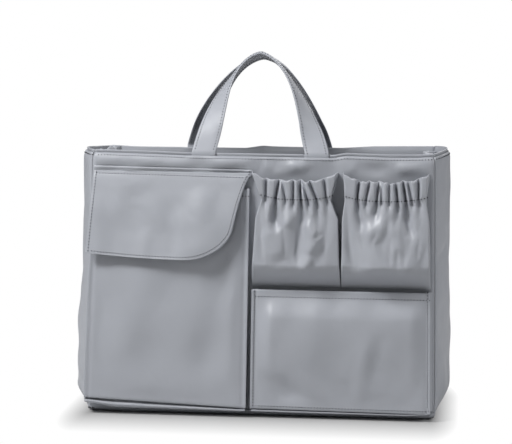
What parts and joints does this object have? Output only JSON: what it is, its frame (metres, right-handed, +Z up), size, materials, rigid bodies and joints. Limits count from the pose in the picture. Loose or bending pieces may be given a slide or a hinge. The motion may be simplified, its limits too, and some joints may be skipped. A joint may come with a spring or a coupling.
{
  "type": "purse organizer insert",
  "caption": "Free-standing soft purse organizer insert with carrying straps, a flapped bellows pocket, a low bellows pocket and gathered elastic bottle pockets on its front.",
  "frame": {"origin": "middle of the base's underside, on the surface it stands on", "axes": "+X to the right along the front, +Y from the pocketed front to the back, +Z up"},
  "size_m": [0.3993, 0.1663, 0.3797],
  "materials": {
    "shell_cloth": "satin coated polyester, tone-on-tone topstitching",
    "strap_cloth": "folded satin polyester strap with two edge stitch rows",
    "lining_cloth": "thin matte polyester lining",
    "foam": "closed-cell foam interlining",
    "base_board": "plain polyethylene board",
    "elastic": "woven elastic",
    "closure_tape": "hook and loop tape"
  },
  "bodies": {
    "organizer_body": {"front_shell": "shell_cloth", "back_shell": "shell_cloth", "left_end_shell": "shell_cloth", "right_end_shell": "shell_cloth", "front_rim_facing": "shell_cloth", "back_rim_facing": "shell_cloth", "left_end_rim_facing": "shell_cloth", "right_end_rim_facing": "shell_cloth", "bottom_shell": "shell_cloth", "flap_seam_band": "shell_cloth", "large_pocket_left_gusset": "shell_cloth", "large_pocket_right_gusset": "shell_cloth", "large_pocket_bottom_gusset": "shell_cloth", "lower_pocket_left_gusset": "shell_cloth", "lower_pocket_right_gusset": "shell_cloth", "lower_pocket_bottom_gusset": "shell_cloth", "left_end_pocket_pouch": "shell_cloth", "left_end_pocket_header": "shell_cloth", "right_end_pocket_pouch": "shell_cloth", "right_end_pocket_header": "shell_cloth", "front_strap_left_tail": "strap_cloth", "front_strap_right_tail": "strap_cloth", "back_strap_left_tail": "strap_cloth", "back_strap_right_tail": "strap_cloth", "front_lining": "lining_cloth", "back_lining": "lining_cloth", "left_end_lining": "lining_cloth", "right_end_lining": "lining_cloth", "bottom_lining": "lining_cloth", "front_foam": "foam", "back_foam": "foam", "left_end_foam": "foam", "right_end_foam": "foam", "base_board": "base_board", "left_end_pocket_elastic": "elastic", "right_end_pocket_elastic": "elastic"},
    "pocket_flap": {"flap_shell": "shell_cloth", "flap_lining": "lining_cloth", "flap_hook_tape": "closure_tape"},
    "large_pocket": {"large_pocket_front": "shell_cloth", "large_pocket_hem": "shell_cloth", "large_pocket_loop_tape": "closure_tape"},
    "lower_pocket": {"lower_pocket_front": "shell_cloth", "lower_pocket_hem": "shell_cloth"},
    "left_bottle_pocket": {"left_bottle_pocket_pouch": "shell_cloth", "left_bottle_pocket_header": "shell_cloth", "left_bottle_pocket_elastic": "elastic"},
    "right_bottle_pocket": {"right_bottle_pocket_pouch": "shell_cloth", "right_bottle_pocket_header": "shell_cloth", "right_bottle_pocket_elastic": "elastic"},
    "front_handle": {"front_strap": "strap_cloth"},
    "back_handle": {"back_strap": "strap_cloth"}
  },
  "joints": [
    {"name": "flap_hinge", "type": "hinge", "parent": "organizer_body", "child": "pocket_flap", "pos_m": [-0.0937, -0.06805, 0.252], "axis": [-1, 0, 0], "range_deg": [0, 105]},
    {"name": "large_pocket_open", "type": "hinge", "parent": "organizer_body", "child": "large_pocket", "pos_m": [-0.0947, -0.084, 0.014], "axis": [1, 0, 0], "range_deg": [0, 5.25]},
    {"name": "lower_pocket_open", "type": "hinge", "parent": "organizer_body", "child": "lower_pocket", "pos_m": [0.0851, -0.081, 0.009], "axis": [1, 0, 0], "range_deg": [0, 10]},
    {"name": "left_bottle_pocket_stretch", "type": "hinge", "parent": "organizer_body", "child": "left_bottle_pocket", "pos_m": [0.0371, -0.06685, 0.1365], "axis": [1, 0, 0], "range_deg": [0, 6], "stiffness_Nm_per_rad": 0.5},
    {"name": "right_bottle_pocket_stretch", "type": "hinge", "parent": "organizer_body", "child": "right_bottle_pocket", "pos_m": [0.1304, -0.06685, 0.1365], "axis": [1, 0, 0], "range_deg": [0, 6], "stiffness_Nm_per_rad": 0.5},
    {"name": "front_handle_swing", "type": "hinge", "parent": "organizer_body", "child": "front_handle", "pos_m": [-0.003, -0.0637, 0.2746], "axis": [1, 0, 0], "range_deg": [0, 85]},
    {"name": "back_handle_swing", "type": "hinge", "parent": "organizer_body", "child": "back_handle", "pos_m": [-0.011, 0.06864, 0.2746], "axis": [-1, 0, 0], "range_deg": [0, 150]}
  ],
  "couplings": [
    {"joint": "large_pocket_open", "follows": "flap_hinge", "ratio": 0.05}
  ]
}
